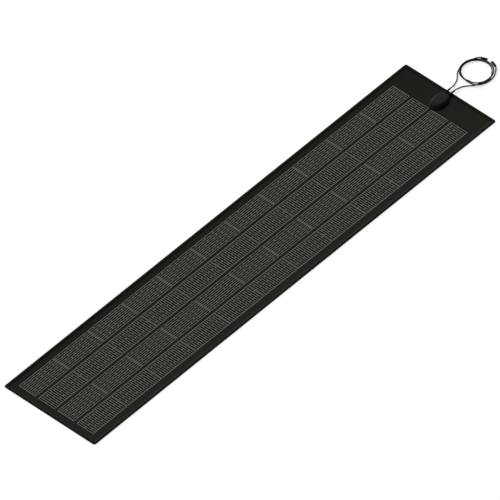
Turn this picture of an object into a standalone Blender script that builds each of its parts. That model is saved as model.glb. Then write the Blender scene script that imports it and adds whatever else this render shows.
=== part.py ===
"""Flexible solar sheet: a thin photovoltaic laminate that bends along three lines, with a junction
box, two leads wound into one coil, and a plug and a socket on their ends.

Metres, +Z up. The origin is the middle of the sheet's underside. X runs across the sheet and Y
along it, towards the junction box. Dimensions in millimetres are multiplied by MM.
"""

import math

import bmesh
import bpy
from mathutils import Vector

MM = 0.001
CLEARANCE = 0.3 * MM  # between pieces that touch

# The sheet
SHEET_WIDTH = 494 * MM
SHEET_LENGTH = 2459 * MM
CORNER_RADIUS = 10 * MM
HALF_WIDTH, HALF_LENGTH = SHEET_WIDTH / 2, SHEET_LENGTH / 2
BACK_SHEET = (0.0, 0.9 * MM)  # lowest and highest Z of each layer
CELL_LAYER = (1.2 * MM, 1.6 * MM)
EDGE_SEAL = (1.2 * MM, 2.0 * MM)
FRONT_THICKNESS = 0.7 * MM
FRONT_FIELD_TOP = 2.6 * MM
FRONT_RIM_TOP = 3.0 * MM
RIM_ROUNDING, RIM_WIDTH, RIM_SLOPE = 3 * MM, 13 * MM, 4 * MM
SEAL_INSET, SEAL_WIDTH = 1.5 * MM, 11.5 * MM

# The cells: four strings of eleven, side by side
STRING_PITCH = 105 * MM
STRING_X = [(i - 1.5) * STRING_PITCH for i in range(4)]
ROW_COUNT = 11
ROW_PITCH = 208.25 * MM
FIRST_ROW_Y = 40.5 * MM - HALF_LENGTH
CELL_WIDTH, CELL_LENGTH = 96 * MM, 206.2 * MM
CELL_LINK_WIDTH = 60 * MM
CELLS_FAR_Y = FIRST_ROW_Y + ROW_COUNT * ROW_PITCH
RIBBON_WIDTH = 6 * MM

# The bending lines lie between rows of cells: section name, first row, row after the last
SECTIONS = [("end", 0, 3), ("lower", 3, 6), ("upper", 6, 9), ("junction", 9, 11)]
BEND_GAP = 1.2 * MM
BEND_AXIS_Z = 1.5 * MM

# The junction box, on the middle of the sheet's far margin
BOX_Y = 1165 * MM  # its widest place
BOX_HALF_WIDTH, BOX_NEAR, BOX_FAR = 31.5 * MM, 60.5 * MM, 39.5 * MM
NEAR_POWER, FAR_POWER = 2.3, 3.0  # superellipse powers of its outline's two halves
PAD = (2.9 * MM, 3.3 * MM)
BASE_FLANGE = (3.6 * MM, 4.8 * MM)
GASKET = (5.1 * MM, 5.7 * MM)
LID_BOTTOM, BOX_TOP = 6.0 * MM, 20.0 * MM
LID_WALL = 2 * MM
WALL_TOP = 11.5 * MM
SLOT_Y, SLOT_HALF_WIDTH, SLOT_HALF_LENGTH = 1143.5 * MM, 14 * MM, 4 * MM
TERMINAL_X = (6.5 * MM, 12.5 * MM)

# The boots, from inside the lid's far wall to where the leads come out
BOOT_Z = 11 * MM
BOOT_ENDS = {
    "positive": (Vector((-10.0, 1193, 11.0)) * MM, Vector((-12.8, 1240, 10.2)) * MM),
    "negative": (Vector((10.0, 1193, 11.0)) * MM, Vector((8.4, 1240, 10.2)) * MM),
}
BOOT_RADIUS, BOOT_TIP_RADIUS, BOOT_STRAIGHT = 5.0 * MM, 3.5 * MM, 13 * MM
NOTCH_RADIUS = BOOT_RADIUS + 0.5 * MM

# The leads: each tube's own points from its boot to the coil, in millimetres
LEAD_DIAMETER = 5.2 * MM
LEAD_ROUTES = {
    "positive": [
        (-13.6, 1250, 9.4), (-15.2, 1258, 6.6), (-17.6, 1267, 3.7), (-21.4, 1278, 2.65),
        (-28.2, 1296.5, 2.65), (-38.2, 1311.5, 2.65), (-50.4, 1324, 2.65), (-59.4, 1336.5, 2.65),
        (-65.4, 1349.2, 2.65),
    ],
    "negative": [
        (8.0, 1250, 9.4), (7.7, 1258, 6.6), (7.9, 1267, 3.7), (9.4, 1276, 2.65),
        (14.8, 1288, 2.65), (22.6, 1300, 2.65), (30.0, 1309.8, 2.65), (36.0, 1318.0, 2.8),
    ],
}
ROUTE_STEP = 11 * MM

# The coil that both leads are wound into, as one ring lying beside the sheet
COIL_CENTRE = Vector((0, 1393, 0)) * MM
COIL_INNER, COIL_OUTER, COIL_HEIGHT = 61.4 * MM, 77.2 * MM, 10.4 * MM
COIL_LOOSE_ANGLE = 30  # degrees: the turns spread out on this side and bunch on the other
COIL_INNER_SPREAD, COIL_OUTER_SPREAD = 2.6 * MM, 2.2 * MM
CONNECTOR_SECTOR = (58, 126)  # degrees: where the ring is narrow, beside the connectors
SECTOR_OUTER, SECTOR_EASE = 71.2 * MM, 3

# The connectors: angle and radius of the middle, turn of the nose, outer and bore radii
CONNECTORS = {
    "plug": {"angle": 110.5, "radius": 77.4, "nose": -1, "outer": 4.3, "bore": 2.7, "pin": 1.2},
    "socket": {"angle": 71.5, "radius": 77.2, "nose": 1, "outer": 5.5, "bore": 3.6, "pin": 1.6},
}
CONNECTOR_LENGTH, NUT_LENGTH = 30 * MM, 8.7 * MM
BORE_DEPTH, BACK_OF_BORE = 13 * MM, 8 * MM
NUT_HOLE_RADIUS = 2.9 * MM


# ---- meshes and objects


def material(name, colour, roughness, metallic=0.0):
    """A Principled material."""
    made = bpy.data.materials.new(name)
    made.use_nodes = True
    shader = made.node_tree.nodes["Principled BSDF"]
    shader.inputs["Base Color"].default_value = (*colour, 1.0)
    shader.inputs["Roughness"].default_value = roughness
    shader.inputs["Metallic"].default_value = metallic
    return made


def pivot_at(name, place, parent=None):
    """An empty at a place in world space, carried by another."""
    pivot = bpy.data.objects.new(name, None)
    bpy.context.scene.collection.objects.link(pivot)
    pivot.parent = parent
    pivot.location = Vector(place) - (parent.matrix_world.translation if parent else Vector())
    bpy.context.view_layer.update()
    return pivot


def add(name, mesh, finish, pivot=None, smooth=False):
    """One sub-part from a bmesh in world space, carried by a pivot."""
    bmesh.ops.remove_doubles(mesh, verts=mesh.verts, dist=1e-7)
    bmesh.ops.recalc_face_normals(mesh, faces=mesh.faces)
    place = pivot.matrix_world.translation if pivot else Vector()
    bmesh.ops.translate(mesh, verts=mesh.verts, vec=-place)
    data = bpy.data.meshes.new(name)
    mesh.to_mesh(data)
    mesh.free()
    if smooth:
        data.shade_smooth()
        data.set_sharp_from_angle(angle=math.radians(35))
    data.materials.append(finish)
    made = bpy.data.objects.new(name, data)
    bpy.context.scene.collection.objects.link(made)
    made.parent = pivot
    return made


def cutter(name, mesh):
    """A hidden solid for a Boolean."""
    made = add(name, mesh, MATERIALS["plastic"])
    made.hide_render = True
    made.display_type = "WIRE"
    return made


def boolean(target, tool, operation):
    """Cuts a tool from a target, or joins it."""
    step = target.modifiers.new(tool.name, "BOOLEAN")
    step.operation = operation
    step.object = tool
    step.solver = "EXACT"


def prism(outline, low, high):
    """A flat outline of XY points, standing from one height to another."""
    mesh = bmesh.new()
    floor = [mesh.verts.new((x, y, low)) for x, y in outline]
    roof = [mesh.verts.new((x, y, high)) for x, y in outline]
    bridge(mesh, floor, roof)
    mesh.faces.new(floor)
    mesh.faces.new(roof)
    return mesh


def bridge(mesh, first, second):
    """Joins two closed loops of as many points with four-sided faces."""
    count = len(first)
    for i in range(count):
        j = (i + 1) % count
        mesh.faces.new((first[i], first[j], second[j], second[i]))


def loft(loops, close=False):
    """A skin over closed loops of points: capped at both ends, or closed back to the first."""
    mesh = bmesh.new()
    rings = [[mesh.verts.new(point) for point in loop] for loop in loops]
    for first, second in zip(rings, rings[1:]):
        bridge(mesh, first, second)
    if close:
        bridge(mesh, rings[-1], rings[0])
    else:
        mesh.faces.new(rings[0])
        mesh.faces.new(rings[-1])
    return mesh


def rectangle(x_low, x_high, y_low, y_high):
    """The four corners of a rectangle."""
    return [(x_low, y_low), (x_high, y_low), (x_high, y_high), (x_low, y_high)]


def rounded(x_low, x_high, y_low, y_high, radius, corners=(1, 1, 1, 1), steps=5):
    """A rectangle whose corners, counted from the lowest X and Y, are arcs where asked."""
    centres = [
        (x_low + radius, y_low + radius), (x_high - radius, y_low + radius),
        (x_high - radius, y_high - radius), (x_low + radius, y_high - radius),
    ]
    points = []
    for i, corner in enumerate(rectangle(x_low, x_high, y_low, y_high)):
        if not corners[i]:
            points.append(corner)
            continue
        for k in range(steps + 1):
            turn = math.radians(180 + 90 * i + 90 * k / steps)
            points.append((centres[i][0] + radius * math.cos(turn),
                           centres[i][1] + radius * math.sin(turn)))
    return points


def turned(profile, sides, start, direction):
    """Loops of points around an axis, one for each (distance along it, radius)."""
    spin = Vector(direction).to_track_quat("Z", "Y").to_matrix()
    loops = []
    for along, radius in profile:
        loops.append([
            Vector(start) + spin @ Vector((
                radius * math.cos(2 * math.pi * k / sides),
                radius * math.sin(2 * math.pi * k / sides),
                along,
            ))
            for k in range(sides)
        ])
    return loops


# ---- the laminate


def section_span(first_row, end_row):
    """Where a section starts and ends along Y, with its half of each bending gap taken off."""
    low = -HALF_LENGTH if first_row == 0 else FIRST_ROW_Y + first_row * ROW_PITCH + BEND_GAP / 2
    high = HALF_LENGTH if end_row == ROW_COUNT else FIRST_ROW_Y + end_row * ROW_PITCH - BEND_GAP / 2
    return low, high


def front_heights(inset):
    """The front sheet's lowest and highest Z at a distance in from the rim's outer edge."""
    step = FRONT_RIM_TOP - FRONT_FIELD_TOP
    sink = step * min(max((inset - RIM_WIDTH) / RIM_SLOPE, 0), 1)
    edge = 0.5 * MM * max(1 - inset / RIM_ROUNDING, 0)
    return FRONT_RIM_TOP - FRONT_THICKNESS - sink, FRONT_RIM_TOP - sink - edge


def front_sheet(low, high, near_rim, far_rim):
    """The formed front sheet of one section: a field inside a raised rim with round corners."""
    insets = [0, 3 * MM, 6 * MM, CORNER_RADIUS, RIM_WIDTH, RIM_WIDTH + RIM_SLOPE]
    if not (near_rim or far_rim):
        insets = [0, RIM_ROUNDING, RIM_WIDTH, RIM_WIDTH + RIM_SLOPE]
    columns = [(-HALF_WIDTH + i, i) for i in insets]
    columns += [(HALF_WIDTH - i, i) for i in reversed(insets)]
    away = RIM_WIDTH + RIM_SLOPE
    rows = [(low + i, i) for i in insets] if near_rim else [(low, away)]
    rows += [(high - i, i) for i in reversed(insets)] if far_rim else [(high, away)]
    mesh = bmesh.new()
    grids = ([], [])
    for y, inset_y in rows:
        lines = ([], [])
        for x, inset_x in columns:
            place = round_corner(x, y, inset_x, inset_y)
            for line, height in zip(lines, front_heights(min(inset_x, inset_y))):
                line.append(mesh.verts.new((*place, height)))
        for grid, line in zip(grids, lines):
            grid.append(line)
    for grid in grids:
        for upper, lower in zip(grid, grid[1:]):
            for i in range(len(columns) - 1):
                mesh.faces.new((upper[i], upper[i + 1], lower[i + 1], lower[i]))
    bridge(mesh, rim_loop(grids[0]), rim_loop(grids[1]))
    return mesh


def round_corner(x, y, inset_x, inset_y):
    """Moves a grid point near a corner from a square on to a round pattern."""
    across, along = CORNER_RADIUS - inset_x, CORNER_RADIUS - inset_y
    if across <= 0 or along <= 0:
        return x, y
    shrink = 1 - max(across, along) / math.hypot(across, along)
    return x - math.copysign(across * shrink, x), y - math.copysign(along * shrink, y)


def rim_loop(grid):
    """The points around the border of a grid, in order."""
    right = [line[-1] for line in grid[1:]]
    left = [line[0] for line in grid[1:-1]]
    return grid[0] + right + grid[-1][-2::-1] + left[::-1]


def cell_string(x, first_row, end_row):
    """One string's cells in one section, joined by a link between each pair."""
    right = []
    for row in range(first_row, end_row):
        low = FIRST_ROW_Y + row * ROW_PITCH + (ROW_PITCH - CELL_LENGTH) / 2
        high = low + CELL_LENGTH
        if row > first_row:
            right.append((CELL_LINK_WIDTH / 2, low))
        right += [(CELL_WIDTH / 2, low), (CELL_WIDTH / 2, high)]
        if row < end_row - 1:
            right.append((CELL_LINK_WIDTH / 2, high))
    outline = [(x + across, y) for across, y in right]
    outline += [(x - across, y) for across, y in reversed(right)]
    return prism(outline, *CELL_LAYER)


def string_link(x_low, x_high, y_band, y_cells):
    """A flat ribbon across the ends of two strings, with a tab to each of them."""
    tab = 2 * RIBBON_WIDTH
    band = y_band + math.copysign(RIBBON_WIDTH, y_band)
    outline = [
        (x_low, y_cells), (x_low + tab, y_cells), (x_low + tab, y_band), (x_high - tab, y_band),
        (x_high - tab, y_cells), (x_high, y_cells), (x_high, band), (x_low, band),
    ]
    return prism(outline, *CELL_LAYER)


def output_ribbon(side):
    """A flat ribbon from an outer string's far end to under the junction box's slot."""
    outer = STRING_X[3] + RIBBON_WIDTH
    y_cells = CELLS_FAR_Y - 0.2 * MM
    band = CELLS_FAR_Y + 16 * MM
    outline = [
        (outer - 2 * RIBBON_WIDTH, y_cells), (outer, y_cells), (outer, band + RIBBON_WIDTH),
        (TERMINAL_X[1], band + RIBBON_WIDTH), (TERMINAL_X[1], SLOT_Y + 3 * MM),
        (TERMINAL_X[0], SLOT_Y + 3 * MM), (TERMINAL_X[0], band), (outer - 2 * RIBBON_WIDTH, band),
    ]
    return prism([(side * x, y) for x, y in outline], *CELL_LAYER)


def make_laminate(pivots):
    """The back sheets, cells, edge seal and front sheets of every section."""
    seal_x = HALF_WIDTH - SEAL_INSET
    for name, first_row, end_row in SECTIONS:
        low, high = section_span(first_row, end_row)
        near_rim, far_rim = first_row == 0, end_row == ROW_COUNT
        pivot = pivots[name]
        corners = (near_rim, near_rim, far_rim, far_rim)
        outline = rounded(-HALF_WIDTH, HALF_WIDTH, low, high, CORNER_RADIUS, corners)
        add(f"back_sheet_{name}", prism(outline, *BACK_SHEET), MATERIALS["back_sheet"], pivot)
        front = add(
            f"front_sheet_{name}", front_sheet(low, high, near_rim, far_rim),
            MATERIALS["front_sheet"], pivot,
        )
        if name == "junction":
            boolean(front, cutter("front_slot", slot_solid()), "DIFFERENCE")
        for i, x in enumerate(STRING_X):
            add(f"cell_string_{i + 1}_{name}", cell_string(x, first_row, end_row),
                MATERIALS["cell"], pivot)
        seal_low = low + (SEAL_INSET + SEAL_WIDTH + CLEARANCE if near_rim else 0)
        seal_high = high - (SEAL_INSET + SEAL_WIDTH + CLEARANCE if far_rim else 0)
        for side, label in ((-1, "left"), (1, "right")):
            edges = sorted((side * seal_x, side * (seal_x - SEAL_WIDTH)))
            add(f"edge_seal_{label}_{name}",
                prism(rectangle(*edges, seal_low, seal_high), *EDGE_SEAL),
                MATERIALS["edge_seal"], pivot)
    for label, side, pivot in (("near", -1, pivots["end"]), ("far", 1, pivots["junction"])):
        outer = side * (HALF_LENGTH - SEAL_INSET)
        y_low, y_high = sorted((outer, outer - side * SEAL_WIDTH))
        corners = (side < 0, side < 0, side > 0, side > 0)
        strip = rounded(-seal_x, seal_x, y_low, y_high, CORNER_RADIUS - SEAL_INSET, corners)
        add(f"edge_seal_{label}", prism(strip, *EDGE_SEAL), MATERIALS["edge_seal"], pivot)


def make_ribbons(pivots):
    """The three links between strings and the two output ribbons."""
    reach = STRING_PITCH / 2 + RIBBON_WIDTH
    near_band = FIRST_ROW_Y - 5 * MM
    near_cells = FIRST_ROW_Y + 0.2 * MM
    for label, middle in (("left", -STRING_PITCH), ("right", STRING_PITCH)):
        link = string_link(middle - reach, middle + reach, near_band, near_cells)
        add(f"string_link_near_{label}", link, MATERIALS["ribbon"], pivots["end"])
    link = string_link(-reach, reach, CELLS_FAR_Y + 3 * MM, CELLS_FAR_Y - 0.2 * MM)
    add("string_link_far", link, MATERIALS["ribbon"], pivots["junction"])
    for label, side in (("positive", -1), ("negative", 1)):
        add(f"output_ribbon_{label}", output_ribbon(side), MATERIALS["ribbon"], pivots["junction"])


# ---- the junction box


def box_outline(inset=0.0, shrink=1.0, count=36):
    """The box's outline seen from above: a long round near end and a short square far end."""
    points = []
    for k in range(count):
        turn = 2 * math.pi * k / count
        across, along = math.cos(turn), math.sin(turn)
        power = 2 / (FAR_POWER if along > 0 else NEAR_POWER)
        length = (BOX_FAR if along > 0 else BOX_NEAR) - inset
        x = (BOX_HALF_WIDTH - inset) * math.copysign(abs(across) ** power, across)
        y = length * math.copysign(abs(along) ** power, along)
        points.append((x * shrink, BOX_Y + y * shrink, max(-along, 0)))
    return points


def dome_loop(shrink, inset, height):
    """One level loop of the lid, lower towards the near end than at the sides."""
    loop = []
    for x, y, nearness in box_outline(inset, shrink):
        power = 5 - 3 * nearness**2
        loop.append((x, y, LID_BOTTOM + height * (1 - shrink**power) ** (1 / power)))
    return loop


def lid():
    """The lid: a domed shell, open below."""
    outer_inset = 0.6 * MM
    shrinks = [1.0, 0.985, 0.95, 0.88, 0.76, 0.55, 0.25]
    height = BOX_TOP - LID_BOTTOM
    outside = [dome_loop(s, outer_inset, height) for s in reversed(shrinks)]
    inside = [dome_loop(s, outer_inset + LID_WALL, height - LID_WALL) for s in shrinks]
    return loft(outside + inside)


def slot_solid():
    """The slot that the output ribbons come up through."""
    return prism(
        rectangle(-SLOT_HALF_WIDTH, SLOT_HALF_WIDTH,
                  SLOT_Y - SLOT_HALF_LENGTH, SLOT_Y + SLOT_HALF_LENGTH),
        1 * MM, 6 * MM,
    )


def flat(outline):
    """An outline's X and Y only."""
    return [(point[0], point[1]) for point in outline]


def ring(outer, inner, low, high):
    """A flat ring between two outlines of as many points."""
    loops = [[(x, y, z) for x, y in outline]
             for outline, z in ((outer, low), (outer, high), (inner, high), (inner, low))]
    return loft(loops, close=True)


def make_box(root, lid_pivot):
    """The adhesive pad, base, gasket, lid, terminals and bypass diode."""
    pad = add("adhesive_pad", prism(flat(box_outline(1.0 * MM)), *PAD), MATERIALS["pad"], root)
    base = add("junction_box_base", prism(flat(box_outline()), *BASE_FLANGE),
               MATERIALS["plastic"], root)
    wall = rounded(-20.5 * MM, 20.5 * MM, 1136 * MM, 1192 * MM, 5 * MM)
    pocket = rounded(-18.9 * MM, 18.9 * MM, 1137.6 * MM, 1190.4 * MM, 3.4 * MM)
    upright = BASE_FLANGE[0] + 0.4 * MM
    boolean(base, cutter("base_wall", prism(wall, upright, WALL_TOP)), "UNION")
    boolean(base, cutter("base_pocket", prism(pocket, BASE_FLANGE[1], WALL_TOP + MM)), "DIFFERENCE")
    for target in (pad, base):
        boolean(target, cutter(f"{target.name}_slot", slot_solid()), "DIFFERENCE")
    gasket = ring(flat(box_outline(0.9 * MM)), flat(box_outline(3.0 * MM)), *GASKET)
    add("junction_box_gasket", gasket, MATERIALS["rubber"], root)
    shell = add("junction_box_lid", lid(), MATERIALS["plastic"], lid_pivot, smooth=True)
    for name in BOOT_ENDS:
        boolean(shell, cutter(f"lid_notch_{name}", notch(name)), "DIFFERENCE")
    for name, side in (("positive", -1), ("negative", 1)):
        add(f"terminal_{name}", terminal(side), MATERIALS["brass"], root)
    add("bypass_diode", diode(), MATERIALS["plastic"], root)


def notch(name):
    """The U-shaped way through the lid's far wall that a boot passes, open below."""
    start, tip = BOOT_ENDS[name]
    middle = start.lerp(tip, 0.2).x
    profile = [(middle - NOTCH_RADIUS, 4 * MM)]
    for k in range(13):
        turn = math.pi * (1 - k / 12)
        profile.append((middle + NOTCH_RADIUS * math.cos(turn),
                        BOOT_Z + NOTCH_RADIUS * math.sin(turn)))
    profile.append((middle + NOTCH_RADIUS, 4 * MM))
    return loft([[(x, y, z) for x, z in profile] for y in (1196 * MM, 1210 * MM)])


def terminal(side):
    """A bent strip from the output ribbon up through the slot and along to the boot."""
    thickness = 0.8 * MM
    foot, shelf = CELL_LAYER[1] + CLEARANCE, 7 * MM
    profile = [
        (SLOT_Y, foot), (SLOT_Y + thickness, foot), (SLOT_Y + thickness, shelf),
        (1188 * MM, shelf), (1188 * MM, shelf + thickness), (SLOT_Y, shelf + thickness),
    ]
    return loft([[(side * x, y, z) for y, z in profile] for x in TERMINAL_X])


def diode():
    """The bypass diode: a flat package with a leg towards each terminal."""
    edge = TERMINAL_X[0] - CLEARANCE
    outline = [
        (-4 * MM, 1158 * MM), (4 * MM, 1158 * MM), (4 * MM, 1162 * MM), (edge, 1162 * MM),
        (edge, 1165 * MM), (4 * MM, 1165 * MM), (4 * MM, 1170 * MM), (-4 * MM, 1170 * MM),
        (-4 * MM, 1165 * MM), (-edge, 1165 * MM), (-edge, 1162 * MM), (-4 * MM, 1162 * MM),
    ]
    return prism(outline, BASE_FLANGE[1] + CLEARANCE, 8.6 * MM)


# ---- the leads and connectors


def smooth_route(points, step):
    """Evenly spaced points of a smooth curve through a route's own points."""
    spots = [Vector(p) * MM for p in points]
    spots = [2 * spots[0] - spots[1], *spots, 2 * spots[-1] - spots[-2]]
    dense = []
    for a, b, c, d in zip(spots, spots[1:], spots[2:], spots[3:]):
        for k in range(24):
            t = k / 24
            dense.append(0.5 * (2 * b + (c - a) * t + (2 * a - 5 * b + 4 * c - d) * t**2
                                + (3 * b - a - 3 * c + d) * t**3))
    dense.append(spots[-2])
    lengths = [0.0]
    for a, b in zip(dense, dense[1:]):
        lengths.append(lengths[-1] + (b - a).length)
    count = max(2, round(lengths[-1] / step))
    found, i = [], 0
    for k in range(count + 1):
        want = lengths[-1] * k / count
        while i < len(dense) - 2 and lengths[i + 1] < want:
            i += 1
        part = (want - lengths[i]) / max(lengths[i + 1] - lengths[i], 1e-12)
        found.append(dense[i].lerp(dense[i + 1], min(part, 1)))
    return found


def lead_tube(name, finish, parent):
    """A lead's free stretch, from its boot's tip to the coil."""
    start, tip = BOOT_ENDS[name]
    out = (tip - start).normalized()
    first = (tip + out * CLEARANCE) / MM
    points = smooth_route([first, *LEAD_ROUTES[name]], ROUTE_STEP)
    curve = bpy.data.curves.new(f"lead_{name}", "CURVE")
    curve.dimensions = "3D"
    curve.bevel_depth = LEAD_DIAMETER / 2
    curve.bevel_resolution = 2
    curve.use_fill_caps = True
    spline = curve.splines.new("POLY")
    spline.points.add(len(points) - 1)
    for spot, point in zip(spline.points, points):
        spot.co = (*point, 1.0)
    curve.materials.append(finish)
    made = bpy.data.objects.new(f"lead_{name}", curve)
    bpy.context.scene.collection.objects.link(made)
    made.parent = parent


def boot(name):
    """A strain relief that tapers from the junction box to its lead."""
    start, tip = BOOT_ENDS[name]
    length = (tip - start).length
    profile = [(0, BOOT_RADIUS), (BOOT_STRAIGHT, BOOT_RADIUS), (length, BOOT_TIP_RADIUS)]
    return loft(turned(profile, 16, start, tip - start))


def ease(value):
    """A smooth step from 0 to 1."""
    value = min(max(value, 0), 1)
    return value * value * (3 - 2 * value)


def coil_ring():
    """The outer shape of the wound leads, narrower beside the connectors."""
    loops = []
    for k in range(90):
        degrees = 4.0 * k
        turn = math.radians(degrees)
        spread = math.cos(turn - math.radians(COIL_LOOSE_ANGLE))
        inner = COIL_INNER - COIL_INNER_SPREAD * spread
        outer = COIL_OUTER + COIL_OUTER_SPREAD * spread
        low, high = CONNECTOR_SECTOR
        narrow = ease((degrees - low) / SECTOR_EASE + 1) * ease((high - degrees) / SECTOR_EASE + 1)
        outer += (SECTOR_OUTER - outer) * narrow
        out = Vector((math.cos(turn), math.sin(turn), 0))
        rise = Vector((0, 0, COIL_HEIGHT))
        near, far = COIL_CENTRE + out * inner, COIL_CENTRE + out * outer
        loops.append([near, far, far + rise, near + rise])
    return loft(loops, close=True)


def connector_axis(kind):
    """A connector's cable end, and the direction of its nose."""
    facts = CONNECTORS[kind]
    turn = math.radians(facts["angle"])
    out = Vector((math.cos(turn), math.sin(turn), 0))
    along = Vector((-out.y, out.x, 0)) * facts["nose"]
    middle = COIL_CENTRE + out * facts["radius"] * MM + Vector((0, 0, facts["outer"] * MM))
    return middle - along * CONNECTOR_LENGTH / 2, along


def make_connectors(root, nut_pivots):
    """A plug and a socket: each a hollow body, a contact and a gland nut that turns."""
    for kind, facts in CONNECTORS.items():
        start, along = connector_axis(kind)
        outer, bore, pin = (facts[key] * MM for key in ("outer", "bore", "pin"))
        body_start = NUT_LENGTH + CLEARANCE
        floor = CONNECTOR_LENGTH - BORE_DEPTH
        body = [
            (body_start, outer * 0.9), (body_start + 2 * MM, outer * 0.9),
            (body_start + 2.6 * MM, outer), (CONNECTOR_LENGTH, outer),
            (CONNECTOR_LENGTH, bore), (floor, bore),
        ]
        add(f"{kind}_body", loft(turned(body, 20, start, along)), MATERIALS["plastic"], root)
        contact = [(floor + CLEARANCE, pin), (CONNECTOR_LENGTH - 3 * MM, pin)]
        add(f"{kind}_contact", loft(turned(contact, 12, start, along)), MATERIALS["brass"], root)
        nut = [
            (0, NUT_HOLE_RADIUS), (0, outer * 0.86), (1.2 * MM, outer * 0.98),
            (NUT_LENGTH, outer * 0.98), (NUT_LENGTH, NUT_HOLE_RADIUS),
        ]
        add(f"{kind}_gland_nut", loft(turned(nut, 20, start, along), close=True),
            MATERIALS["plastic"], nut_pivots[kind])


# ---- the whole


def remove_everything():
    """Clears the scene's objects."""
    for old in list(bpy.data.objects):
        bpy.data.objects.remove(old, do_unlink=True)


def main():
    """Builds every sub-part under its pivot."""
    root = pivot_at("junction_section_pivot", (0, 0, 0))
    pivots = {"junction": root}
    parent = root
    for name, _, end_row in reversed(SECTIONS[:-1]):
        line = (0, FIRST_ROW_Y + end_row * ROW_PITCH, BEND_AXIS_Z)
        parent = pivot_at(f"{name}_section_pivot", line, parent)
        pivots[name] = parent
    lid_pivot = pivot_at("junction_box_lid_pivot", (0, BOX_Y, LID_BOTTOM), root)
    nuts = {kind: pivot_at(f"{kind}_gland_nut_pivot", connector_axis(kind)[0], root)
            for kind in CONNECTORS}
    make_laminate(pivots)
    make_ribbons(pivots)
    make_box(root, lid_pivot)
    for name in BOOT_ENDS:
        add(f"boot_{name}", boot(name), MATERIALS["rubber"], root, smooth=True)
        lead_tube(name, MATERIALS["rubber"], root)
    add("lead_coil", coil_ring(), MATERIALS["rubber"], root)
    make_connectors(root, nuts)


remove_everything()
MATERIALS = {
    "back_sheet": material("back_sheet", (0.02, 0.02, 0.02), 0.6),
    "front_sheet": material("front_sheet", (0.015, 0.014, 0.011), 0.35),
    "cell": material("cell", (0.012, 0.012, 0.014), 0.3),
    "ribbon": material("ribbon", (0.62, 0.6, 0.56), 0.35, 1.0),
    "edge_seal": material("edge_seal", (0.012, 0.012, 0.011), 0.5),
    "plastic": material("plastic", (0.025, 0.024, 0.027), 0.45),
    "pad": material("pad", (0.03, 0.03, 0.03), 0.8),
    "rubber": material("rubber", (0.01, 0.01, 0.01), 0.6),
    "brass": material("brass", (0.78, 0.6, 0.28), 0.3, 1.0),
}
main()
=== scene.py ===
"""The looks of the flexible solar sheet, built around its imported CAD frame.

Metres, +Z up, in the frame of the CAD model: X runs across the sheet, Y along it towards the
junction box, and the sheet's underside lies on the floor at Z = 0.
"""

import math

import bmesh
import bpy
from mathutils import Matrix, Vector


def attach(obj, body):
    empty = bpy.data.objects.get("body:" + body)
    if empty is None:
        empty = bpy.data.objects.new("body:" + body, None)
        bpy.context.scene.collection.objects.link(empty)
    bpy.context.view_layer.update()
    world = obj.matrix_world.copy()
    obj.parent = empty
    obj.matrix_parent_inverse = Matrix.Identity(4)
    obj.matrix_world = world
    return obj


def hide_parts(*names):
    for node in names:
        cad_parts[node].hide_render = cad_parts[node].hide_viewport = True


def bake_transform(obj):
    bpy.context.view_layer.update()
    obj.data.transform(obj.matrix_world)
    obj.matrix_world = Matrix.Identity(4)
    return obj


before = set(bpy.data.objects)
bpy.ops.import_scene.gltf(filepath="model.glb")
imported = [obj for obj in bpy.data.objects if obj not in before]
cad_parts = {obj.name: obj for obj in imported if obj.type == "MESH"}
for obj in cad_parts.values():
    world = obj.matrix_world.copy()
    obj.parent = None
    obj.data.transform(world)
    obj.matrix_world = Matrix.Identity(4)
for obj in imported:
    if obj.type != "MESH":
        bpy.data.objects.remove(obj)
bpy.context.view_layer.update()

MM = 0.001


# ---- the camera, floor and light


def make_camera():
    """A long lens from above the sheet's near right side."""
    azimuth, elevation = math.radians(41.702), math.radians(45.722)
    aim = Vector((-16.7, 10.3, 0)) * MM
    view_width = 2.0348
    lens, sensor = 1700, 36
    looking = Vector((
        -math.sin(azimuth) * math.cos(elevation),
        math.cos(azimuth) * math.cos(elevation),
        -math.sin(elevation),
    ))
    data = bpy.data.cameras.new("camera")
    data.lens = lens
    data.sensor_width = sensor
    data.clip_start = 1
    data.clip_end = 400
    camera = bpy.data.objects.new("camera", data)
    camera.location = aim - looking * view_width * lens / sensor
    camera.rotation_euler = looking.to_track_quat("-Z", "Y").to_euler()
    bpy.context.scene.collection.objects.link(camera)
    bpy.context.scene.camera = camera


def make_floor():
    """A plain white floor, a hair below the sheet's underside."""
    half_width, drop = 12, 0.05 * MM
    mesh = bmesh.new()
    bmesh.ops.create_grid(mesh, x_segments=1, y_segments=1, size=half_width)
    floor = add("floor", mesh, floor_paint())
    floor.location.z = -drop


def floor_paint():
    """Pale paint that glows just to white, so that the shadows on it stay light."""
    paint = bpy.data.materials.new("floor_paint")
    paint.use_nodes = True
    shader = paint.node_tree.nodes["Principled BSDF"]
    shader.inputs["Base Color"].default_value = (0.45, 0.45, 0.45, 1)
    shader.inputs["Roughness"].default_value = 0.9
    shader.inputs["Specular IOR Level"].default_value = 0.0
    shader.inputs["Emission Color"].default_value = (1, 1, 1, 1)
    shader.inputs["Emission Strength"].default_value = 0.53
    return paint


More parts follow.
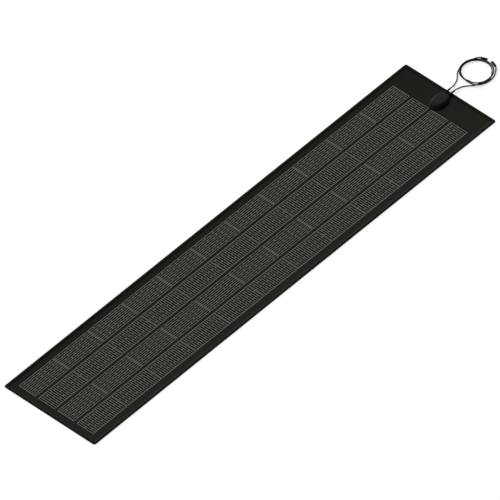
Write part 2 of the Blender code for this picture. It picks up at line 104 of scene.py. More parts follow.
def make_light():
    """A pale sky and three soft lights, the brightest from the sheet's left."""
    world = bpy.data.worlds.new("studio")
    world.use_nodes = True
    sky = world.node_tree.nodes["Background"]
    sky.inputs["Color"].default_value = (1, 1, 1, 1)
    sky.inputs["Strength"].default_value = 0.3
    bpy.context.scene.world = world
    for name, towards, strength, spread in (
        ("key", (-0.83, 0.16, 0.36), 3.4, 40),
        ("back", (-0.59, 0.56, 0.58), 1.0, 24),
        ("near", (0.0, -0.8, 0.6), 1.2, 60),
    ):
        data = bpy.data.lights.new(name, "SUN")
        data.energy = strength
        data.angle = math.radians(spread)
        light = bpy.data.objects.new(name, data)
        light.rotation_euler = Vector(towards).to_track_quat("Z", "Y").to_euler()
        bpy.context.scene.collection.objects.link(light)
    bpy.context.scene.view_settings.view_transform = "Standard"
    bpy.context.scene.view_settings.look = "None"


# ---- materials


def node(tree, kind, **settings):
    """A shader node, with the values of its named settings and sockets."""
    made = tree.nodes.new(kind)
    for name, value in settings.items():
        socket = made.inputs.get(name.replace("_", " ").title())
        if socket is not None:
            socket.default_value = value
        else:
            setattr(made, name, value)
    return made


def finish(name, colours, rough, grain, bump, blotch=20, specular=0.5, metallic=0.0,
           pattern="noise"):
    """A procedural finish.

    colours: two colours that a soft noise of scale blotch wanders between.
    rough: lowest and highest roughness, which follow the same grain as the bump.
    grain: the scale of the grain, per metre. bump: its height in metres.
    pattern: the kind of grain.
    """
    made = bpy.data.materials.new(name)
    made.use_nodes = True
    tree = made.node_tree
    shader = tree.nodes["Principled BSDF"]
    shader.inputs["Specular IOR Level"].default_value = specular
    shader.inputs["Metallic"].default_value = metallic
    place = node(tree, "ShaderNodeTexCoord").outputs["Object"]
    cloud = node(tree, "ShaderNodeTexNoise", scale=blotch, detail=3.0)
    tree.links.new(place, cloud.inputs["Vector"])
    mixed = node(tree, "ShaderNodeMix", data_type="RGBA")
    low, high = (socket for socket in mixed.inputs if socket.type == "RGBA")
    low.default_value = (*colours[0], 1)
    high.default_value = (*colours[1], 1)
    tree.links.new(cloud.outputs["Fac"], mixed.inputs[0])
    colour = next(socket for socket in mixed.outputs if socket.type == "RGBA")
    tree.links.new(colour, shader.inputs["Base Color"])
    grains = grain_nodes(tree, place, pattern, grain)
    spread = node(tree, "ShaderNodeMapRange", to_min=rough[0], to_max=rough[1])
    tree.links.new(grains, spread.inputs["Value"])
    tree.links.new(spread.outputs["Result"], shader.inputs["Roughness"])
    raised = node(tree, "ShaderNodeBump", distance=bump, strength=1.0)
    tree.links.new(grains, raised.inputs["Height"])
    tree.links.new(raised.outputs["Normal"], shader.inputs["Normal"])
    return made


def grain_nodes(tree, place, pattern, grain):
    """The height of a grain, from 0 to 1: noise, pebbles or a plain weave."""
    if pattern == "pebble":
        cells = node(tree, "ShaderNodeTexVoronoi", scale=grain, feature="SMOOTH_F1")
        tree.links.new(place, cells.inputs["Vector"])
        return cells.outputs["Distance"]
    if pattern == "weave":
        waves = []
        for direction in ("X", "Y"):
            wave = node(tree, "ShaderNodeTexWave", scale=grain, bands_direction=direction)
            tree.links.new(place, wave.inputs["Vector"])
            waves.append(wave.outputs["Fac"])
        crossed = node(tree, "ShaderNodeMath", operation="MAXIMUM")
        tree.links.new(waves[0], crossed.inputs[0])
        tree.links.new(waves[1], crossed.inputs[1])
        return crossed.outputs["Value"]
    speckle = node(tree, "ShaderNodeTexNoise", scale=grain, detail=4.0)
    tree.links.new(place, speckle.inputs["Vector"])
    return speckle.outputs["Fac"]


def make_finishes():
    """Every finish by name."""
    return {
        "front": finish("front_film", [(0.0026, 0.0023, 0.0002), (0.0033, 0.0029, 0.0005)],
                        (0.26, 0.34), 900, 0.01 * MM, blotch=9, specular=0.022, pattern="pebble"),
        "back": finish("back_film", [(0.006, 0.006, 0.006), (0.009, 0.009, 0.0085)],
                       (0.5, 0.7), 420, 0.04 * MM, blotch=12, specular=0.08, pattern="weave"),
        "seal": finish("edge_seal_rubber", [(0.003, 0.003, 0.003), (0.006, 0.006, 0.0055)],
                       (0.5, 0.7), 1500, 0.03 * MM, specular=0.05),
        "cell": finish("cell_silicon", [(0.0018, 0.0016, 0.0008), (0.0030, 0.0027, 0.0015)],
                       (0.35, 0.5), 700, 0.01 * MM, blotch=14, specular=0.015),
        "grid": finish("grid_tin", [(0.076, 0.072, 0.057), (0.121, 0.116, 0.096)],
                       (0.5, 0.65), 1200, 0.01 * MM, blotch=160, specular=0.15),
        "lid": finish("box_plastic", [(0.0096, 0.0087, 0.0088), (0.0122, 0.0112, 0.0113)],
                      (0.3, 0.42), 1700, 0.02 * MM, blotch=60, specular=0.02),
        "pad": finish("foam_pad", [(0.012, 0.012, 0.012), (0.022, 0.022, 0.022)],
                      (0.8, 0.95), 1400, 0.1 * MM),
        "gasket": finish("gasket_rubber", [(0.006, 0.006, 0.006), (0.011, 0.011, 0.011)],
                         (0.55, 0.75), 1600, 0.03 * MM),
        "boot": finish("boot_rubber", [(0.0012, 0.0012, 0.0013), (0.0028, 0.0028, 0.003)],
                       (0.5, 0.65), 1500, 0.04 * MM, specular=0.04),
        "jacket": finish("lead_jacket", [(0.0014, 0.0014, 0.0015), (0.0032, 0.0032, 0.0034)],
                         (0.45, 0.6), 1300, 0.03 * MM, specular=0.08),
        "connector": finish("connector_nylon", [(0.0018, 0.0018, 0.002), (0.0038, 0.0038, 0.0041)],
                            (0.42, 0.55), 1500, 0.04 * MM, specular=0.1),
        "tin": finish("tinned_copper", [(0.52, 0.51, 0.48), (0.68, 0.66, 0.61)],
                      (0.25, 0.45), 900, 0.02 * MM, metallic=1.0),
        "brass": finish("terminal_brass", [(0.62, 0.46, 0.20), (0.78, 0.62, 0.32)],
                        (0.22, 0.42), 900, 0.02 * MM, metallic=1.0),
        "epoxy": finish("diode_epoxy", [(0.012, 0.012, 0.013), (0.022, 0.022, 0.023)],
                        (0.4, 0.55), 1500, 0.03 * MM),
    }


# ---- mesh helpers


def add(name, mesh, paint, sharp=35):
    """One piece from a bmesh in the shared frame, with crisp edges above an angle in degrees."""
    bmesh.ops.recalc_face_normals(mesh, faces=mesh.faces)
    data = bpy.data.meshes.new(name)
    mesh.to_mesh(data)
    mesh.free()
    data.shade_smooth()
    data.set_sharp_from_angle(angle=math.radians(sharp))
    data.materials.append(paint)
    made = bpy.data.objects.new(name, data)
    bpy.context.scene.collection.objects.link(made)
    return made


def bridge(mesh, first, second):
    """Joins two closed loops of as many points with four-sided faces."""
    count = len(first)
    for i in range(count):
        j = (i + 1) % count
        mesh.faces.new((first[i], first[j], second[j], second[i]))


def loft(loops, close=False):
    """A skin over closed loops of points: capped at both ends, or closed back to the first."""
    mesh = bmesh.new()
    rings = [[mesh.verts.new(point) for point in loop] for loop in loops]
    for first, second in zip(rings, rings[1:]):
        bridge(mesh, first, second)
    if close:
        bridge(mesh, rings[-1], rings[0])
    else:
        mesh.faces.new(rings[0])
        mesh.faces.new(rings[-1])
    return mesh


def sheet_solid(columns, rows, top, bottom, shift=None):
    """A thin closed solid over a grid of X and Y, whose top and bottom heights are functions."""
    mesh = bmesh.new()
    grids = ([], [])
    for y in rows:
        lines = ([], [])
        for x in columns:
            place = shift(x, y) if shift else (x, y)
            lines[0].append(mesh.verts.new((*place, bottom(x, y))))
            lines[1].append(mesh.verts.new((*place, top(x, y))))
        grids[0].append(lines[0])
        grids[1].append(lines[1])
    for grid in grids:
        for first, second in zip(grid, grid[1:]):
            for i in range(len(columns) - 1):
                mesh.faces.new((first[i], first[i + 1], second[i + 1], second[i]))
    bridge(mesh, rim_loop(grids[0]), rim_loop(grids[1]))
    return mesh


def rim_loop(grid):
    """The points around the border of a grid, in order."""
    right = [line[-1] for line in grid[1:]]
    left = [line[0] for line in grid[1:-1]]
    return grid[0] + right + grid[-1][-2::-1] + left[::-1]


def joined(meshes):
    """Several bmeshes as one."""
    whole = bmesh.new()
    for mesh in meshes:
        part = bpy.data.meshes.new("part")
        mesh.to_mesh(part)
        mesh.free()
        whole.from_mesh(part)
        bpy.data.meshes.remove(part)
    return whole


def cut(target, tool, sharp=40):
    """Cuts a solid from a piece, for good, with crisp edges above an angle in degrees."""
    step = target.modifiers.new("cut", "BOOLEAN")
    step.operation = "DIFFERENCE"
    step.object = tool
    step.solver = "EXACT"
    bpy.context.view_layer.update()
    shape = target.evaluated_get(bpy.context.evaluated_depsgraph_get())
    mesh = bpy.data.meshes.new_from_object(shape)
    target.modifiers.clear()
    mesh.set_sharp_from_angle(angle=math.radians(sharp))
    target.data = mesh
    bpy.data.objects.remove(tool, do_unlink=True)


def turned(profile, sides, start, direction, ripple=None):
    """Loops of points around an axis, one for each (distance along it, radius)."""
    spin = Vector(direction).to_track_quat("Z", "Y").to_matrix()
    loops = []
    for along, radius in profile:
        loop = []
        for k in range(sides):
            turn = 2 * math.pi * k / sides
            out = radius * (ripple(along, turn) if ripple else 1)
            loop.append(Vector(start) + spin @ Vector((
                out * math.cos(turn), out * math.sin(turn), along,
            )))
        loops.append(loop)
    return loops


# ---- the leads

LEAD_DIAMETER = 5.2 * MM
BOOT_ENDS = {
    "positive": (Vector((-10.0, 1193, 11.0)) * MM, Vector((-12.8, 1240, 10.2)) * MM),
    "negative": (Vector((10.0, 1193, 11.0)) * MM, Vector((8.4, 1240, 10.2)) * MM),
}
# From each boot to the coil, in millimetres
LEAD_ROUTES = {
    "positive": [
        (-13.6, 1250, 9.4), (-15.2, 1258, 6.6), (-17.6, 1267, 3.7), (-21.4, 1278, 2.65),
        (-28.2, 1296.5, 2.65), (-38.6, 1311.5, 2.65), (-50.0, 1324.3, 2.65),
        (-58.0, 1337.4, 2.65),
    ],
    "negative": [
        (8.0, 1250, 9.4), (7.7, 1258, 6.6), (7.9, 1267, 3.7), (9.4, 1276, 2.65),
        (14.8, 1288, 2.65), (22.8, 1299, 2.65), (30.6, 1307.6, 2.65), (37.2, 1313.8, 2.65),
    ],
}
COIL_CENTRE = Vector((0, 1393, 0)) * MM
COIL_STEP = 7  # degrees between the points worked out along a turn
ROUTE_STEP = 2.4 * MM  # between the points of a finished lead
# The lane that each lead keeps around the coil: degrees, radius and height in millimetres.
# The positive lead winds clockwise and the negative one the other way; each rises where it
# crosses another strand.
COIL_LANES = {
    "positive": [
        (217, 77.5, 2.65), (210, 75.5, 2.65), (200, 74.3, 2.65), (190, 73.6, 2.65),
        (180, 72.7, 2.65), (170, 71.8, 2.65), (160, 71.2, 2.65), (150, 70.6, 2.65),
        (140, 70.3, 2.65), (130, 70.3, 2.65), (115, 70.3, 2.65), (100, 69.9, 2.65),
        (90, 69.4, 2.65), (75, 68.6, 2.65), (60, 67.9, 2.65), (50, 67.3, 2.65),
        (40, 66.8, 2.65), (30, 65.8, 2.65), (20, 64.6, 2.65), (10, 63.2, 2.65),
        (0, 62.8, 2.65), (-10, 63.5, 2.65), (-20, 64.6, 2.65), (-30, 65.5, 2.65),
        (-40, 66.2, 2.65), (-50, 67.2, 2.65), (-60, 68.0, 2.65), (-70, 68.2, 3.4),
        (-75, 68.5, 5.4), (-80, 69.3, 7.2), (-85, 70.6, 8.0), (-90, 72.2, 8.0),
        (-95, 73.5, 7.9), (-100, 74.2, 7.6), (-110, 74.6, 7.3), (-120, 75.0, 6.9),
        (-130, 75.2, 6.4), (-137, 74.6, 6.3), (-143, 73.6, 6.8), (-150, 72.2, 7.3),
        (-160, 71.5, 7.35), (-180, 69.9, 7.35), (-200, 68.4, 7.35), (-210, 67.9, 7.4),
        (-217, 68.6, 7.8), (-222.5, 70.8, 7.9), (-228, 74.2, 7.0), (-233.8, 77.7, 4.8),
    ],
    "negative": [
        (-60.5, 85.4, 3.2), (-57, 84.4, 4.6), (-53, 83.2, 6.2), (-49, 81.7, 7.3),
        (-45, 79.8, 7.95), (-40, 77.2, 8.0), (-35, 74.7, 7.7), (-30, 72.6, 6.6),
        (-25, 71.0, 5.1), (-20, 69.9, 3.5), (-10, 68.9, 2.65), (0, 68.3, 3.1),
        (5, 67.3, 5.5), (10, 65.9, 7.3), (15, 64.3, 8.0), (20, 62.9, 8.0), (25, 61.6, 7.7),
        (30, 60.8, 6.8), (35, 60.3, 5.5), (40, 60.2, 4.0), (50, 60.7, 2.65), (60, 61.4, 2.65),
        (75, 62.2, 2.65), (90, 62.8, 2.65), (105, 62.9, 2.65), (120, 62.9, 2.65),
        (130, 63.2, 2.65), (140, 63.9, 2.65), (150, 64.8, 2.65), (160, 65.5, 2.65),
        (170, 66.2, 2.65), (180, 67.1, 2.65), (190, 68.0, 2.65), (200, 68.6, 2.65),
        (210, 68.8, 2.65), (225, 69.0, 2.65), (240, 68.8, 2.65), (255, 68.6, 2.65),
        (265, 69.2, 2.65), (273, 70.7, 2.65), (281, 72.5, 2.65), (289, 74.6, 2.65),
        (297, 77.4, 2.65), (304, 79.0, 2.65), (312, 78.3, 2.65), (325, 77.2, 2.65),
        (338, 75.6, 2.65), (350, 74.3, 2.65), (362, 73.8, 2.65), (375, 73.6, 2.65),
        (388, 73.9, 2.65), (398, 74.5, 2.9), (406, 75.9, 3.8), (412, 77.3, 4.7),
        (416.5, 78.2, 5.3),
    ],
}
CONNECTORS = {
    "plug": {"angle": 110.5, "radius": 77.4, "nose": -1, "outer": 4.3, "bore": 2.7, "pin": 1.2},
    "socket": {"angle": 71.5, "radius": 77.2, "nose": 1, "outer": 5.5, "bore": 3.6, "pin": 1.6},
}
CONNECTOR_LENGTH, BORE_DEPTH = 30 * MM, 13 * MM
NUT_LENGTH, NUT_GAP = 8.7 * MM, 0.3 * MM
NUT_BORE, SPIGOT_RADIUS = 2.75 * MM, 2.65 * MM
RIB_COUNT, RIB_DEPTH = 12, 0.035  # on the nut; the depth is a share of its radius
GROOVE_COUNT, GROOVE_PITCH = 3, 1.6 * MM  # around the shell
LEAD_IN_NUT, LEAD_IN_BOOT = 7 * MM, 5 * MM


def connector_axis(kind):
    """A connector's cable end, and the direction of its nose."""
    facts = CONNECTORS[kind]
    turn = math.radians(facts["angle"])
    out = Vector((math.cos(turn), math.sin(turn), 0))
    along = Vector((-out.y, out.x, 0)) * facts["nose"]
    middle = COIL_CENTRE + out * facts["radius"] * MM + Vector((0, 0, facts["outer"] * MM))
    return middle - along * CONNECTOR_LENGTH / 2, along


def lane_slope(lane, i, column):
    """A lane's slope at one of its keys: none at a turning point, so that it never overshoots."""
    slopes = []
    for a, b in ((i - 1, i), (i, i + 1)):
        if a >= 0 and b < len(lane):
            slopes.append((lane[b][column] - lane[a][column]) / (lane[b][0] - lane[a][0]))
    if len(slopes) == 1:
        return slopes[0]
    if slopes[0] * slopes[1] <= 0:
        return 0.0
    return 2 * slopes[0] * slopes[1] / (slopes[0] + slopes[1])


def coil_points(lane):
    """Points around the coil at even angles, on a smooth curve through a lane's keys."""
    points = []
    for i in range(len(lane) - 1):
        start, span = lane[i][0], lane[i + 1][0] - lane[i][0]
        steps = max(1, round(abs(span) / COIL_STEP))
        for k in range(1, steps + 1):
            t = k / steps
            values = []
            for column in (1, 2):
                values.append(
                    (2 * t**3 - 3 * t**2 + 1) * lane[i][column]
                    + (3 * t**2 - 2 * t**3) * lane[i + 1][column]
                    + (t**3 - 2 * t**2 + t) * span * lane_slope(lane, i, column)
                    + (t**3 - t**2) * span * lane_slope(lane, i + 1, column)
                )
            turn = math.radians(start + span * t)
            points.append(COIL_CENTRE + Vector((
                values[0] * math.cos(turn), values[0] * math.sin(turn), values[1],
            )) * MM)
    return points


def smooth_route(spots, step):
    """Evenly spaced points of a smooth curve through a route's own points."""
    parts = 16
    spots = [2 * spots[0] - spots[1], *spots, 2 * spots[-1] - spots[-2]]
    dense = []
    for a, b, c, d in zip(spots, spots[1:], spots[2:], spots[3:]):
        for k in range(parts):
            t = k / parts
            dense.append(0.5 * (2 * b + (c - a) * t + (2 * a - 5 * b + 4 * c - d) * t**2
                                + (3 * b - a - 3 * c + d) * t**3))
    dense.append(spots[-2])
    lengths = [0.0]
    for a, b in zip(dense, dense[1:]):
        lengths.append(lengths[-1] + (b - a).length)
    count = round(lengths[-1] / step)
    found, i = [], 0
    for k in range(count + 1):
        want = lengths[-1] * k / count
        while i < len(dense) - 2 and lengths[i + 1] < want:
            i += 1
        share = (want - lengths[i]) / max(lengths[i + 1] - lengths[i], 1e-12)
        found.append(dense[i].lerp(dense[i + 1], min(share, 1)))
    return found


def lead_spots(name, kind):
    """A lead's route from inside its boot, around the coil and into its connector's nut."""
    start, tip = BOOT_ENDS[name]
    out = (tip - start).normalized()
    spots = [tip - out * LEAD_IN_BOOT, tip]
    spots += [Vector(point) * MM for point in LEAD_ROUTES[name]]
    spots += coil_points(COIL_LANES[name])
    end, along = connector_axis(kind)
    return spots + [end, end + along * LEAD_IN_NUT]


def make_lead(name, kind):
    """One lead, a single cable with a soft black jacket."""
    points = smooth_route(lead_spots(name, kind), ROUTE_STEP)
    curve = bpy.data.curves.new(f"cable_{name}", "CURVE")
    curve.dimensions = "3D"
    curve.bevel_depth = LEAD_DIAMETER / 2
    curve.bevel_resolution = 5
    curve.use_fill_caps = True
    spline = curve.splines.new("POLY")
    spline.points.add(len(points) - 1)
    for spot, point in zip(spline.points, points):
        spot.co = (*point, 1.0)
    spline.use_smooth = True
    curve.materials.append(FINISHES["jacket"])
    lead = bpy.data.objects.new(f"cable_{name}", curve)
    bpy.context.scene.collection.objects.link(lead)
    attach(lead, "junction_section")
    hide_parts(f"lead_{name}")
    if name == "positive":
        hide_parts("lead_coil")
    pieces = make_connector(kind)


def make_connector(kind):
    """A plug's or socket's grooved shell, its contact, and its gland nut."""
    facts = CONNECTORS[kind]
    start, along = connector_axis(kind)
    outer, bore, pin = (facts[key] * MM for key in ("outer", "bore", "pin"))
    nose, back = CONNECTOR_LENGTH, NUT_LENGTH + NUT_GAP
    floor, spigot_start = nose - BORE_DEPTH, back - 1.2 * MM
    sunk = outer * 0.9  # the radius at the bottom of a groove
    # Both profiles run from the cable's end to the nose
    profile = [(spigot_start, SPIGOT_RADIUS - 0.3 * MM), (spigot_start + 0.3 * MM, SPIGOT_RADIUS),
               (back, SPIGOT_RADIUS), (back, outer * 0.88), (back + 2 * MM, sunk),
               (back + 2.6 * MM, outer * 0.99)]
    for k in range(GROOVE_COUNT):
        groove = back + 4 * MM + k * GROOVE_PITCH
        profile += [(groove, outer), (groove + 0.3 * MM, sunk),
                    (groove + 0.8 * MM, sunk), (groove + 1.1 * MM, outer)]
    profile += [(nose - 0.6 * MM, outer), (nose, outer * 0.93), (nose, bore + 0.4 * MM),
                (nose - 0.4 * MM, bore), (floor, bore)]
    body = add(f"{kind}_shell", loft(turned(profile, 48, start, along)), FINISHES["connector"])
    nut_profile = [(0, NUT_BORE), (0, outer * 0.70), (0.5 * MM, outer * 0.84),
                   (1.4 * MM, outer * 0.97), (NUT_LENGTH - 0.7 * MM, outer * 0.97),
                   (NUT_LENGTH, outer * 0.9), (NUT_LENGTH, NUT_BORE)]

    def ribs(distance, turn):
        """Finger ribs around the nut, away from its two ends."""
        inside = 1.0 * MM < distance < NUT_LENGTH - 0.3 * MM
        return 1 - (RIB_DEPTH * (1 - math.cos(RIB_COUNT * turn)) if inside else 0)

    nut = add(f"{kind}_nut", loft(turned(nut_profile, 96, start, along, ribs), close=True),
              FINISHES["connector"])
    tip = nose - 3 * MM
    contact_profile = [(floor + 0.3 * MM, pin), (tip - 1 * MM, pin), (tip - 0.4 * MM, pin * 0.85),
                       (tip, pin * 0.5)]
    contact = add(f"{kind}_pin", loft(turned(contact_profile, 24, start, along)), FINISHES["tin"])
    for piece, body_name, slot_name, cad_node in (
        (body, "junction_section", "connector", f"{kind}_body"),
        (nut, f"{kind}_gland_nut", "connector", f"{kind}_gland_nut"),
        (contact, "junction_section", "contact", f"{kind}_contact"),
    ):
        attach(piece, body_name)
        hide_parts(cad_node)
    return [body, nut, contact]


def make_boot(name):
    """A strain relief: a collar at the box, then ribs that taper to the lead."""
    start, tip = BOOT_ENDS[name]
    length = (tip - start).length
    collar, rib_pitch, rib_count, rib_depth = 15 * MM, 3.6 * MM, 7, 0.5 * MM
    radius, tip_radius, bore = 5.0 * MM, 3.5 * MM, LEAD_DIAMETER / 2 + 0.06 * MM
    profile = [(0, radius * 0.9), (0.6 * MM, radius), (collar, radius),
               (collar + 0.5 * MM, radius * 0.94)]
    for k in range(rib_count):
        along = collar + 1.2 * MM + k * rib_pitch
        share = (along - collar) / (length - collar)
        rib = radius + (tip_radius - radius) * share - 0.1 * MM
        profile += [(along, rib - rib_depth), (along + 0.7 * MM, rib - rib_depth),
                    (along + 1.2 * MM, rib), (along + 3.0 * MM, rib - 0.12 * MM)]
    profile += [(length - 0.5 * MM, tip_radius), (length, tip_radius - 0.4 * MM),
                (length, bore), (length - LEAD_IN_BOOT - 1 * MM, bore)]
    boot = add(f"strain_relief_{name}", loft(turned(profile, 40, start, tip - start)),
               FINISHES["boot"])
    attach(boot, "junction_section")
    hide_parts(f"boot_{name}")


# ---- the laminate

HALF_WIDTH, HALF_LENGTH = 247 * MM, 1229.5 * MM
CORNER_RADIUS = 10 * MM
FIELD_TOP, FRONT_UNDERSIDE = 2.6 * MM, 2.25 * MM
BACK_TOP, SHEET_MIDDLE = 0.95 * MM, 1.5 * MM
SEAL_INSET, SEAL_WIDTH = 0.35 * MM, 12 * MM
SEAL_Z = (BACK_TOP + 0.02 * MM, FRONT_UNDERSIDE - 0.02 * MM)
# The rim's profile in millimetres: distance in from the sheet's edge, and height of the surface
RIM_PROFILE = [
    (0.0, 2.42), (0.25, 2.68), (0.7, 2.95), (1.5, 3.2), (2.8, 3.42), (4.5, 3.55), (6.5, 3.6),
    (8.5, 3.56), (10.0, 3.47), (12.0, 3.27), (14.0, 3.02), (16.0, 2.8), (18.0, 2.66), (20.0, 2.6),
]
ROW_COUNT, ROW_PITCH, STRING_PITCH = 11, 208.25 * MM, 105 * MM
FIRST_ROW_Y = 40.5 * MM - HALF_LENGTH
STRING_X = [(i - 1.5) * STRING_PITCH for i in range(4)]
# Each bend: the body on its far side, the body on its near side, and its place along Y
BENDS = [
    ("junction_section", "upper_section", FIRST_ROW_Y + 9 * ROW_PITCH),
    ("upper_section", "lower_section", FIRST_ROW_Y + 6 * ROW_PITCH),
    ("lower_section", "end_section", FIRST_ROW_Y + 3 * ROW_PITCH),
]
BEND_REACH, BEND_STEP = 56 * MM, 7 * MM
SEAMS = [HALF_LENGTH, FIRST_ROW_Y + 7.5 * ROW_PITCH, FIRST_ROW_Y + 4.5 * ROW_PITCH, -HALF_LENGTH]
# Each span of the laminate between two seams, and the CAD sections that it stands for
SPANS = {"far": ["junction"], "middle": ["upper"], "near": ["lower", "end"]}
SPAN_NAMES = list(SPANS)


def edge_distance(x, y):
    """How far in from the sheet's nearest edge a place is."""
    return min(HALF_WIDTH - abs(x), HALF_LENGTH - abs(y))


def rim_height(inset):
    """The height of the front surface at a distance in from the sheet's edge."""
    inset = inset / MM
    for (a, low), (b, high) in zip(RIM_PROFILE, RIM_PROFILE[1:]):
        if inset <= b:
            return (low + (high - low) * (inset - a) / (b - a)) * MM
    return FIELD_TOP


def stations(low, high, extra=()):
    """Places along Y where the layers have points: close together at the bends."""
    places = {low, high, *extra}
    least = 1 * MM
    for _, _, bend in BENDS:
        count = round(BEND_REACH / BEND_STEP)
        for k in range(-count, count + 1):
            place = bend + k * BEND_STEP
            if low + least < place < high - least:
                places.add(place)
    return sorted(place for place in places if low <= place <= high)


def round_corner(x, y):
    """Moves a grid point near a corner of the sheet from a square on to a round pattern."""
    across = CORNER_RADIUS - (HALF_WIDTH - abs(x))
    along = CORNER_RADIUS - (HALF_LENGTH - abs(y))
    if across <= 0 or along <= 0:
        return x, y
    shrink = 1 - max(across, along) / math.hypot(across, along)
    return x - math.copysign(across * shrink, x), y - math.copysign(along * shrink, y)


def edge_columns(insets):
    """Places across the sheet at distances in from both of its long edges."""
    return [-HALF_WIDTH + i for i in insets] + [HALF_WIDTH - i for i in reversed(insets)]


def edge_rows(low, high, insets):
    """Places along the sheet, with the same distances in from an end that it has."""
    extra = [place for i in insets for place in (HALF_LENGTH - i, -HALF_LENGTH + i)]
    return stations(low, high, [y for y in extra if low <= y <= high])


def across_bend(piece, index):
    """Bakes a piece's transform into its mesh, for a piece that lies across one bend of the sheet;
    nothing here bends it.
    """
    far_body, near_body, bend = BENDS[index]
    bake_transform(piece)


def make_front(index):
    """One span of the front film, with its raised rim."""
    low, high = SEAMS[index + 1], SEAMS[index]
    insets = [inset * MM for inset, _ in RIM_PROFILE]

    mesh = sheet_solid(edge_columns(insets), edge_rows(low, high, insets),
                       lambda x, y: rim_height(edge_distance(x, y)),
                       lambda x, y: FRONT_UNDERSIDE, round_corner)
    front = add(f"front_film_{SPAN_NAMES[index]}", mesh, FINISHES["front"], sharp=50)
    across_bend(front, index)
    return front


def make_back(index):
    """One span of the back film, with a softly rounded lower edge."""
    low, high = SEAMS[index + 1], SEAMS[index]
    upper_reach, lower_reach = 0.2 * MM, 0.5 * MM
    insets = [0, upper_reach, lower_reach, 2.5 * MM, 5 * MM, 7.5 * MM, 10 * MM]

    def top(x, y):
        return BACK_TOP - 0.1 * MM * max(0, 1 - edge_distance(x, y) / upper_reach)

    def bottom(x, y):
        return 0.25 * MM * max(0, 1 - edge_distance(x, y) / lower_reach)

    mesh = sheet_solid(edge_columns(insets), edge_rows(low, high, insets), top, bottom,
                       round_corner)
    back = add(f"back_film_{SPAN_NAMES[index]}", mesh, FINISHES["back"], sharp=50)
    across_bend(back, index)
    return back


def make_seal(index, side, label):
    """One span of the seal along a long edge, with its outer edges bevelled."""
    low = max(SEAMS[index + 1], -HALF_LENGTH + SEAL_INSET + CORNER_RADIUS)
    high = min(SEAMS[index], HALF_LENGTH - SEAL_INSET - CORNER_RADIUS)
    outer = HALF_WIDTH - SEAL_INSET
    columns = sorted(side * (outer - i) for i in (0, 0.3 * MM, SEAL_WIDTH))

    def shrink(x):
        return 0.15 * MM if abs(x) > outer - 0.01 * MM else 0

    mesh = sheet_solid(columns, stations(low, high),
                       lambda x, y: SEAL_Z[1] - shrink(x), lambda x, y: SEAL_Z[0] + shrink(x))
    seal = add(f"seal_{label}_{SPAN_NAMES[index]}", mesh, FINISHES["seal"])
    across_bend(seal, index)
    return seal


def make_end_seal(side, label, body):
    """The seal across one end of the sheet and round its two corners."""
    outer_x, outer_y = HALF_WIDTH - SEAL_INSET, HALF_LENGTH - SEAL_INSET
    radius = CORNER_RADIUS
    rim = []
    for corner in (1, -1):
        for k in range(9):
            turn = math.radians(90 * k / 8)
            if corner < 0:
                turn = math.radians(90) - turn
            rim.append((corner * (outer_x - radius + radius * math.cos(turn)),
                        side * (outer_y - radius + radius * math.sin(turn))))
    loops = [[(x, y, z) for x, y in rim] for z in SEAL_Z]
    seal = add(f"seal_{label}", loft(loops), FINISHES["seal"])
    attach(seal, body)
    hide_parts(f"edge_seal_{label}")


def make_laminate():
    """The back film, edge seals and front film, each in three spans, one across each bend."""
    for index, sections in enumerate(SPANS.values()):
        front, back = make_front(index), make_back(index)
        if index == 0:
            cut(front, slot_tool())
        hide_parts(*[f"front_sheet_{name}" for name in sections])
        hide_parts(*[f"back_sheet_{name}" for name in sections])
        for side, label in ((-1, "left"), (1, "right")):
            seal = make_seal(index, side, label)
            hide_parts(*[f"edge_seal_{label}_{name}" for name in sections])
    make_end_seal(-1, "near", "end_section")
    make_end_seal(1, "far", "junction_section")


def slot_tool():
    """The slot in the front film under the junction box."""
    x, y_low, y_high = 14 * MM, 1139.5 * MM, 1147.5 * MM
    loops = [[(-x, y_low, z), (x, y_low, z), (x, y_high, z), (-x, y_high, z)]
             for z in (1.5 * MM, 5 * MM)]
    return add("slot_tool", loft(loops), FINISHES["front"])


# ---- the cells and their contact grids

GRID_WIDTH, GRID_LENGTH, LINE = 87.5 * MM, 203.25 * MM, 2.6 * MM
CELL_MARGIN = 0.5 * MM  # of cell shown outside its grid
CELL_Z = (FIELD_TOP - 0.1 * MM, FIELD_TOP + 0.09 * MM)
GRID_Z = (CELL_Z[1], FIELD_TOP + 0.24 * MM)
# A grid with its lines along the cell, and one with its lines across it
LONG_LINES, LONG_LINK_PITCH, LONG_FIRST_LINK = 10, 50.8 * MM, 26.9 * MM
CROSS_LINES = 20
# The links' places across the cell, in turn from one gap between two lines to the next
CROSS_LINKS = [[40.2 * MM], [16.25 * MM, 65.25 * MM]]


def cell_centre(row):
    """The middle of a row of cells along Y."""
    return FIRST_ROW_Y + (row + 0.5) * ROW_PITCH


def long_grid():
    """Bars of a grid whose lines run along the cell, with links laid like bricks."""
    bars = []
    pitch = GRID_WIDTH / (LONG_LINES - 1)
    for k in range(LONG_LINES):
        x = k * pitch
        bars.append((x - LINE / 2, x + LINE / 2, -LINE / 2, GRID_LENGTH + LINE / 2))
    for y in (0, GRID_LENGTH):
        bars.append((0, GRID_WIDTH, y - LINE / 2, y + LINE / 2))
    for k in range(LONG_LINES - 1):
        odd = k % 2
        for j in range(3 if odd else 4):
            y = LONG_FIRST_LINK + (j + 0.5 * odd) * LONG_LINK_PITCH
            bars.append((k * pitch, (k + 1) * pitch, y - LINE / 2, y + LINE / 2))
    return bars


